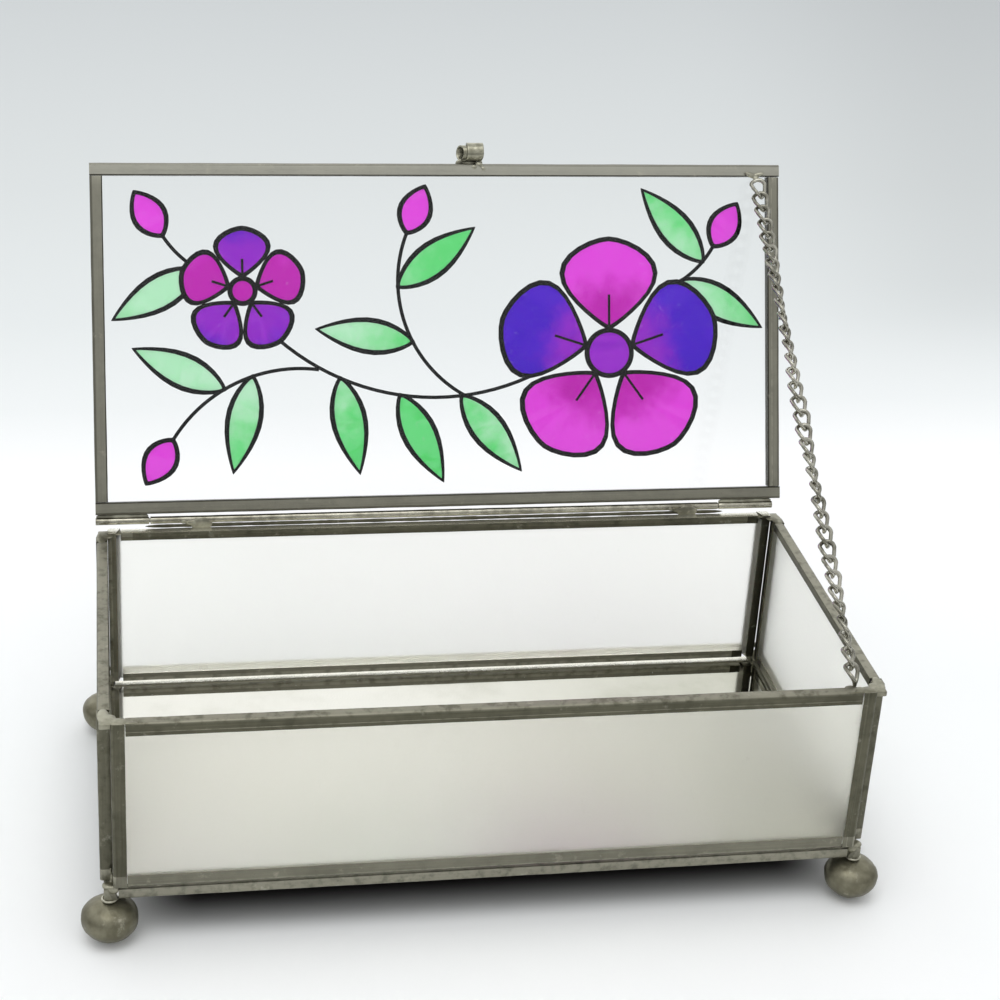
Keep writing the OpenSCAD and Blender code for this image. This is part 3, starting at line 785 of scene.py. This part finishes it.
def bead(node):
    """One bead, flattened and with a flat under it."""
    low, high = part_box(node)
    middle, radius = (low + high) / 2, (high.x - low.x) / 2
    bpy.ops.object.select_all(action="DESELECT")
    bpy.ops.mesh.primitive_uv_sphere_add(segments=BEAD_FACETS, ring_count=BEAD_FACETS // 2,
                                         radius=radius, location=middle)
    ball = bpy.context.active_object
    ball.name = ball.data.name = node + "_bead"
    ball.scale.z = (high.z - low.z + FLAT_WORN) / 2 / radius
    ball.location.z = middle.z - FLAT_WORN / 2
    rest_on_origin()
    # fuller at the shoulder and drawn in below, as the two pressed halves are
    for vertex in ball.data.vertices:
        up = (vertex.co.z - middle.z) / (high.z - low.z) * 2
        fuller = 1 + SHOULDER * max(0.0, up) * (1 - up * up) - TUCK * max(0.0, -up) ** 1.5
        for axis in (0, 1):
            far = (vertex.co[axis] - middle[axis]) * fuller
            vertex.co[axis] = middle[axis] + max(-radius, min(radius, far))
    bpy.ops.object.mode_set(mode="EDIT")
    bpy.ops.mesh.select_all(action="SELECT")
    bpy.ops.mesh.bisect(plane_co=(0, 0, low.z), plane_no=(0, 0, 1), use_fill=True, clear_inner=True)
    bpy.ops.object.mode_set(mode="OBJECT")
    waver(ball, 5 * MM, 0.55 * MM)
    waver(ball, 1.5 * MM, 0.07 * MM)
    for vertex in ball.data.vertices:
        if vertex.co.z < low.z + 0.05 * MM:
            vertex.co.z = low.z
    smooth(ball, 55)
    return belongs(ball, "box", "foot_metal", node)


beads = [bead(node) for node in ("foot_front_left", "foot_front_right", "foot_back_left", "foot_back_right")]
bead_metal = pewter("foot_metal", paint(100, 97, 80), paint(136, 133, 114), rough=0.34, grain=1.2)
bead_metal.put_on(*beads)

low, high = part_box("foot_collars")
COLLAR_R, COLLAR_WALL, COLLAR_ROUND, COLLAR_UP = 1.75 * MM, 0.4 * MM, 0.29 * MM, 0.16 * MM
rings = []
for corner in corners(low, high, inset=COLLAR_R):
    bpy.ops.object.select_all(action="DESELECT")
    bpy.ops.mesh.primitive_torus_add(major_segments=40, minor_segments=12,
                                     location=inward(corner, 0.0, 0.0, low.z + COLLAR_UP),
                                     major_radius=COLLAR_R - COLLAR_WALL / 2, minor_radius=COLLAR_ROUND)
    rings.append(rest_on_origin())
collars = joined(rings, "foot_collar_rings")
smooth(collars)
# the collars are painted paler than the beads, as a highlight round their rims
collar_metal = pewter("collar_metal", paint(130, 128, 112), paint(196, 194, 178), rough=0.26, grain=0.4)
collar_metal.put_on(collars)
belongs(collars, "box", "foot_metal", "foot_collars")


# ---------------------------------------------------------------- hinge
# Three lengths of rolled, tinned tube on one wire pin: a short knuckle at each end,
# soldered to the lid, and the long barrel between them, soldered to the back panel.
TUBE_R, TUBE_WALL, TUBE_RING_STEP = 1.0 * MM, 0.36 * MM, 2.5 * MM


def tube(node, body, low, high, to_place=Matrix()):
    """A rolled tube along x with open ends."""
    bpy.ops.object.select_all(action="DESELECT")
    bpy.ops.mesh.primitive_cylinder_add(vertices=40, radius=TUBE_R, depth=high.x - low.x,
                                        end_fill_type="NOTHING", rotation=(0, math.pi / 2, 0),
                                        location=((low.x + high.x) / 2, HINGE_AT.y, HINGE_AT.z))
    pipe = rest_on_origin()
    pipe.name = pipe.data.name = node + "_tube"
    ringed(pipe, 0, low.x, high.x, TUBE_RING_STEP, 6)
    modify(pipe, "SOLIDIFY", thickness=TUBE_WALL, offset=-1)
    modify(pipe, "BEVEL", width=0.1 * MM, segments=2, limit_method="ANGLE", angle_limit=math.radians(60))
    waver(pipe, 4 * MM, 0.10 * MM)
    pipe.data.transform(to_place)
    smooth(pipe, 40)
    return belongs(pipe, body, "hinge_metal", node)


tubes = [
    tube("hinge_barrel", "box", *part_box("hinge_barrel")),
    tube("lid_knuckle_left", "lid", *closed_box("lid_knuckle_left"), OPENED),
    tube("lid_knuckle_right", "lid", *closed_box("lid_knuckle_right"), OPENED),
]
low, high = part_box("hinge_pin")
bpy.ops.object.select_all(action="DESELECT")
bpy.ops.mesh.primitive_cylinder_add(vertices=32, radius=(high.z - low.z) / 2, depth=high.x - low.x,
                                    location=(low + high) / 2, rotation=(0, math.pi / 2, 0))
pin = rest_on_origin()
pin.name = pin.data.name = "hinge_pin_wire"
modify(pin, "BEVEL", width=0.15 * MM, segments=3, limit_method="ANGLE")
smooth(pin, 40)
belongs(pin, "box", "hinge_metal", "hinge_pin")
tube_metal = pewter("hinge_metal", paint(122, 119, 104), paint(186, 183, 168), rough=0.12, grain=0.4)
tube_metal.put_on(pin, *tubes)


# ---------------------------------------------------------------- pull
# A strip cut from sheet, rolled nearly two turns round a rod and soldered by its outer end to
# the lid's free edge, with a wing of solder on the left and lumps on the right. The inner turn
# has slid out to the left, askew, so that end shows the spiral.
CURL_X, CURL_WIDTH, CURL_THICK, CURL_STEPS = 8.25 * MM, 4.3 * MM, 0.50 * MM, 96
CURL_R, CURL_INNER_R, CURL_TALLER = 2.40 * MM, 1.80 * MM, 1.12
CURL_FROM, CURL_SWEEP = math.radians(12), math.radians(680)
# the inner turn: how far along the strip it starts and is reached, its slide and its slant
INNER_FROM, INNER_OVER, CURL_SLID, CURL_ASKEW = 0.40, 0.18, 1.7 * MM, 0.42
pull_low, pull_high = closed_box("lid_pull")
edge_y = closed_box("lid_came")[0].y
curl_at = Vector((CURL_X, edge_y - 0.10 * MM - CURL_R * CURL_TALLER, (pull_low.z + pull_high.z) / 2))
bpy.ops.object.select_all(action="DESELECT")
bpy.ops.mesh.primitive_grid_add(x_subdivisions=CURL_STEPS, y_subdivisions=10, size=1)
pull = bpy.context.active_object
pull.name = pull.data.name = "lid_pull_curl"
for vertex in pull.data.vertices:
    share = vertex.co.x + 0.5
    angle = CURL_FROM + CURL_SWEEP * share
    inward_share = min(1.0, max(0.0, (share - INNER_FROM) / INNER_OVER))
    radius = CURL_R - (CURL_R - CURL_INNER_R) * inward_share
    slid = (CURL_SLID + math.sin(angle) * radius * CURL_ASKEW) * inward_share
    vertex.co = (vertex.co.y * CURL_WIDTH - slid,
                 math.cos(angle) * radius * CURL_TALLER, math.sin(angle) * radius)
pull.data.update()
modify(pull, "SOLIDIFY", thickness=CURL_THICK, offset=-1)
alone(pull)
bpy.ops.object.mode_set(mode="EDIT")
bpy.ops.mesh.select_all(action="SELECT")
bpy.ops.mesh.normals_make_consistent(inside=False)
bpy.ops.object.mode_set(mode="OBJECT")
modify(pull, "BEVEL", width=0.10 * MM, segments=2, limit_method="ANGLE", angle_limit=math.radians(60))
waver(pull, 3 * MM, 0.06 * MM)
pull.data.transform(OPENED @ Matrix.Translation(curl_at))
smooth(pull, 45)
belongs(pull, "lid", "came_metal", "lid_pull")
pull_metal = pewter("pull_metal", paint(110, 108, 92), paint(176, 174, 156), rough=0.22, grain=0.5)
pull_metal.put_on(pull)

neck_y, neck_z = edge_y / MM, (pull_low.z + pull_high.z) / 2 / MM
neck_x = CURL_X / MM - 1.4
pull_runs = [
    drop((neck_x, neck_y - 0.3, neck_z + 0.6), (2.2, 0.8, 0.7)),
    drop((neck_x - 2.5, neck_y - 0.5, neck_z + 0.3), (1.3, 0.8, 0.42), (0, 0, -34)),
    drop((neck_x + 2.4, neck_y + 0.5, neck_z - 1.0), (1.2, 1.1, 0.55), (0, 10, 20)),
    drop((neck_x + 3.5, neck_y + 1.3, neck_z - 1.3), (0.8, 0.6, 0.42)),
    drop((neck_x + 1.1, neck_y + 0.9, neck_z - 1.3), (0.9, 0.7, 0.38)),
]
for piece in pull_runs:
    piece.data.transform(OPENED)
pull_run = frozen(pull_runs, "lid_pull_solder", "lid", grain=0.10 * MM, ripple=0.18 * MM, smoothing=3)
tin.put_on(pull_run)


# ---------------------------------------------------------------- chain
# A curb chain of twisted wire links. It keeps the lid from falling back, and is soldered
# inside the lid's right corner and inside the rim's front corner. The links of its upper
# half ride with the lid; the others are left where they hang.
WIRE_R, LINK_BEND, LINK_STRAIGHT = 0.52 * MM, 1.90 * MM, 1.42 * MM
LINK_TWIST = math.radians(-84)
# the slow turn of the whole chain, by link, and how much each link strays from it
CHAIN_TURN = ((0, -16), (4, -22), (7, -46), (10, -68), (13, -54), (16, -24), (18, -24),
              (21, -62), (23, -44), (26, -24), (28, -36), (31, -69), (34, -46))
TURN_STRAY, LINK_SLACK = 7, 0.12
# how far the folded halves would lie apart, and the made-up width over which a link's
# share would be read; nothing uses what they give
FOLD_APART, BLEND_WIDTH = 4.5 * MM, 10.0


def loose_middles(mesh_object):
    """The middle of each separate solid of a node."""
    mesh = bmesh.new()
    mesh.from_mesh(mesh_object.data)
    bmesh.ops.remove_doubles(mesh, verts=mesh.verts, dist=1e-6)
    left, middles = set(mesh.verts), []
    while left:
        group, grow = [], [left.pop()]
        while grow:
            vertex = grow.pop()
            group.append(vertex.co.copy())
            for edge in vertex.link_edges:
                other = edge.other_vert(vertex)
                if other in left:
                    left.remove(other)
                    grow.append(other)
        middles.append(sum(group, Vector()) / len(group))
    mesh.free()
    return middles


def between(keys, at):
    """A value read from a list of places and values, straight between two of them."""
    for (low, first), (high, second) in zip(keys, keys[1:]):
        if at <= high:
            return first + (second - first) * max(0.0, at - low) / (high - low)
    return keys[-1][1]


middles = sorted(loose_middles(frame["nodes"]["chain_links"]), key=lambda p: -p.z)
bpy.ops.object.select_all(action="DESELECT")
bpy.ops.mesh.primitive_torus_add(major_segments=40, minor_segments=12,
                                 major_radius=LINK_BEND, minor_radius=WIRE_R)
pattern = bpy.context.active_object
for vertex in pattern.data.vertices:
    vertex.co.x += math.copysign(LINK_STRAIGHT / 2, vertex.co.x)
modify(pattern, "SIMPLE_DEFORM", deform_method="TWIST", deform_axis="X", angle=LINK_TWIST)
smooth(pattern)


def polar(point):
    """A point's angle about the hinge, from +Y towards +Z, and its distance."""
    y, z = point.y - HINGE_AT.y, point.z - HINGE_AT.z
    return math.atan2(z, y) % (2 * math.pi), math.hypot(y, z)


first_angle, last_angle = polar(middles[0])[0], polar(middles[-1])[0]
closing = first_angle + OPEN + last_angle
fold_angle = (closing - OPEN) / 2
links = []
for number, middle in enumerate(middles):
    before, after = middles[max(number - 1, 0)], middles[min(number + 1, len(middles) - 1)]
    link = pattern.copy()
    link.data = pattern.data.copy()
    bpy.context.scene.collection.objects.link(link)
    link.name = link.data.name = f"chain_link_{number + 1:02d}"
    roll = math.radians(between(CHAIN_TURN, number) + random.uniform(-TURN_STRAY, TURN_STRAY))
    aim = (after - before).to_track_quat("X", "Z").to_matrix().to_4x4()
    slack = Vector()
    if 0 < number < len(middles) - 1:
        slack.x = random.uniform(-LINK_SLACK, LINK_SLACK) * MM
    link.data.transform(Matrix.Translation(middle + slack) @ aim @ Matrix.Rotation(roll, 4, "X"))
    angle, far = polar(middle)
    if angle <= fold_angle:
        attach(link, "lid")
    else:
        # how the lower half would lie back over the upper half, a little above it, is worked out, but nothing
        # uses it
        along = (angle - fold_angle) / (last_angle - fold_angle)
        apart = FOLD_APART / far * math.sin(math.pi * along)
        part = min(1.0, max(0.0, (closing - 2 * angle - apart) / OPEN))
        eased = 0.5 - math.sin(math.asin(1 - 2 * part) / 3)
        width = Vector((BLEND_WIDTH, 0, 0))
        start = middle - width * eased
        start + width
        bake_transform(link)
    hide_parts("chain_links")
    links.append(link)
bpy.data.objects.remove(pattern)
chain_metal = pewter("chain_metal", paint(112, 110, 98), paint(184, 182, 170), rough=0.06, grain=0.2)
chain_metal.put_on(*links)


# ---------------------------------------------------------------- painted design
# A stained-glass look painted by hand on the lid's outer face: relief liner squeezed on
# from a tube, and see-through glass paint run into its cells, deeper where it pooled.
liner = Finish("black_liner")
liner.set(Base_Color=paint(5, 4, 6), Roughness=0.50, Specular_IOR_Level=0.08,
          Normal=liner.bump(liner.noise(0.9 * MM, 3), 0.12 * MM))
outline = frame["nodes"]["design_outline"]
liner.put_on(outline)

LID_LOW, LID_HIGH = closed_box("lid_pane")
LID_MIDDLE = (LID_LOW + LID_HIGH) / 2


def glass_paint(name, edge, middle, blossoms, reach):
    """Glass paint that goes from one colour at a blossom's heart to another at its rim."""
    coat = Finish(name)
    pooled = coat.noise(5 * MM, 4)
    streaks = coat.noise(1.4 * MM, 4)
    share = None
    for x, y in blossoms:
        heart = OPENED @ (LID_MIDDLE + Vector((x, -y, 0)) * MM)
        far = coat.add("ShaderNodeVectorMath", {"operation": "DISTANCE"}, coat.place(), heart, out="Value")
        near = far.rise(reach, reach * 0.25)
        share = near if share is None else share.maths("MAXIMUM", near)
    blend = (share + (pooled - 0.5) * 0.9).rise(0.1, 0.9)
    colour = coat.mix(blend, edge, middle)
    colour = coat.mix(streaks.rise(0.62, 0.80) * 0.18, colour, paint(240, 200, 245))
    coat.set(Base_Color=colour, Roughness=0.30, Specular_IOR_Level=0.25, Coat_Weight=0.10,
             Normal=coat.bump(pooled, 0.15 * MM))
    lit = coat.add("ShaderNodeBsdfTranslucent", None, colour)
    coat.output(coat.add("ShaderNodeMixShader", None, 0.42, Value(coat, coat.shader.outputs[0]), lit))
    return coat


BLOSSOMS = ((44, -5), (-52, 12))
violet = glass_paint("violet_paint", paint(100, 8, 226), paint(184, 40, 228), BLOSSOMS, 26 * MM)
violet.put_on(frame["nodes"]["design_violet_petals"])
magenta = glass_paint("magenta_paint", paint(246, 94, 243), paint(222, 28, 212), BLOSSOMS, 28 * MM)
magenta.put_on(frame["nodes"]["design_magenta_petals"])
green = glass_paint("green_paint", paint(132, 240, 160), paint(214, 250, 224), BLOSSOMS, 60 * MM)
green.put_on(frame["nodes"]["design_leaves"])
